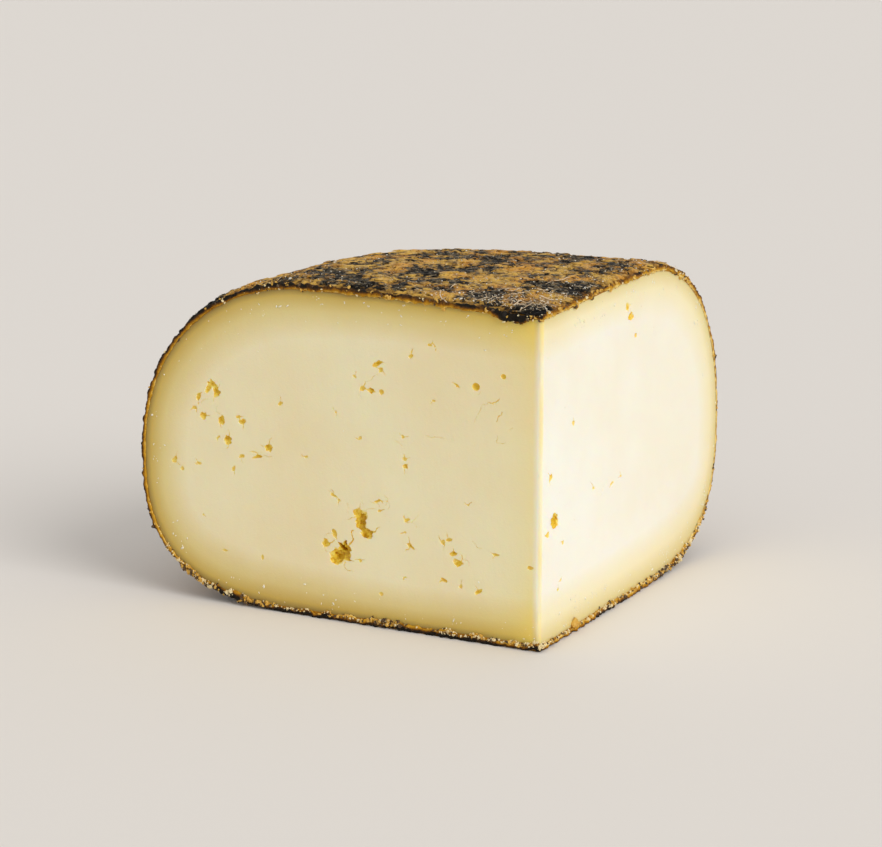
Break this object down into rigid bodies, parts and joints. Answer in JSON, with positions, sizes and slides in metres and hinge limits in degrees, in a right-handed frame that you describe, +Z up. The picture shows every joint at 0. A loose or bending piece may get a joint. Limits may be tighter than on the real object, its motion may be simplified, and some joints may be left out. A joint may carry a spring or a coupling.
{
  "type": "cheese quarter",
  "caption": "Quarter of an aged, cushion-shaped cheese wheel: flat cut faces with small eyes meet at an upright edge, and a thin domed rind closes the rest.",
  "frame": {"origin": "under the middle of the bounding box, on the level of the flat base", "axes": "+Z up out of the domed top; -Y out of the front cut; +X out of the side cut; the two cuts meet at +X, -Y"},
  "size_m": [0.1064, 0.105, 0.0795],
  "materials": {
    "paste": "smooth, dense cut cheese with a faint waxy sheen, ivory in the middle and olive gold near the rind",
    "rind": "dry, mottled charcoal and ochre brown rind with pale specks"
  },
  "bodies": {
    "root": {"cheese_quarter": "paste"}
  },
  "joints": []
}
